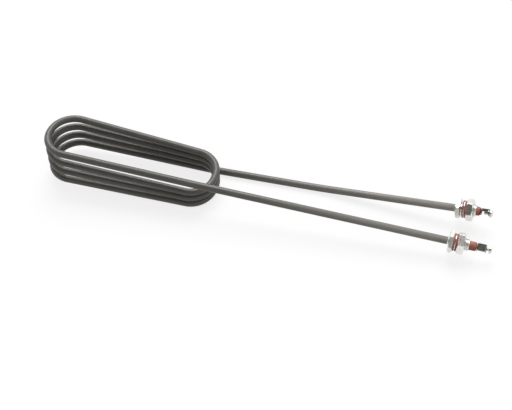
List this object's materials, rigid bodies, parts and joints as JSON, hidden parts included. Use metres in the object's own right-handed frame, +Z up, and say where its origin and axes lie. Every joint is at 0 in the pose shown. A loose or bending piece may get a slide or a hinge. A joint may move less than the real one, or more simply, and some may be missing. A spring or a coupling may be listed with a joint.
{
  "type": "tubular heating element",
  "caption": "Sheathed tube bent into an oblong coil of stacked turns, with two long legs that end in screwed bushes with gaskets, lock nuts and screw terminals.",
  "frame": {"origin": "centre of the bounding box, at the level of the surface that the element lies on", "axes": "+X along the legs from the coil to the terminals, +Y to the side of the rear leg, +Z up"},
  "size_m": [0.5428, 0.073, 0.0598],
  "materials": {
    "sheath_steel": "heat-toned stainless steel, dull with long soft highlights",
    "plated_metal": "bright nickel plating over turned metal",
    "terminal_metal": "zinc-plated steel, slightly tarnished",
    "pin_steel": "drawn steel wire",
    "resistance_alloy": "nickel-chrome resistance wire",
    "red_silicone": "matte brick-red silicone rubber",
    "powder": "pressed magnesium oxide powder",
    "bead_ceramic": "fired ceramic, matte"
  },
  "bodies": {
    "root": {"sheath_tube": "sheath_steel", "insulation_core": "powder", "resistance_wire": "resistance_alloy", "terminal_pin_front": "pin_steel", "mouth_bead_front": "bead_ceramic", "threaded_bush_front": "plated_metal", "inner_gasket_front": "red_silicone", "spacer_washer_front": "plated_metal", "outer_gasket_front": "red_silicone", "lock_nut_front": "plated_metal", "end_seal_front": "red_silicone", "terminal_clip_front": "terminal_metal", "clamp_washer_front": "terminal_metal", "clamp_screw_front": "terminal_metal", "terminal_pin_rear": "pin_steel", "mouth_bead_rear": "bead_ceramic", "threaded_bush_rear": "plated_metal", "inner_gasket_rear": "red_silicone", "spacer_washer_rear": "plated_metal", "outer_gasket_rear": "red_silicone", "lock_nut_rear": "plated_metal", "end_seal_rear": "red_silicone", "terminal_clip_rear": "terminal_metal", "clamp_washer_rear": "terminal_metal", "clamp_screw_rear": "terminal_metal"}
  },
  "joints": []
}
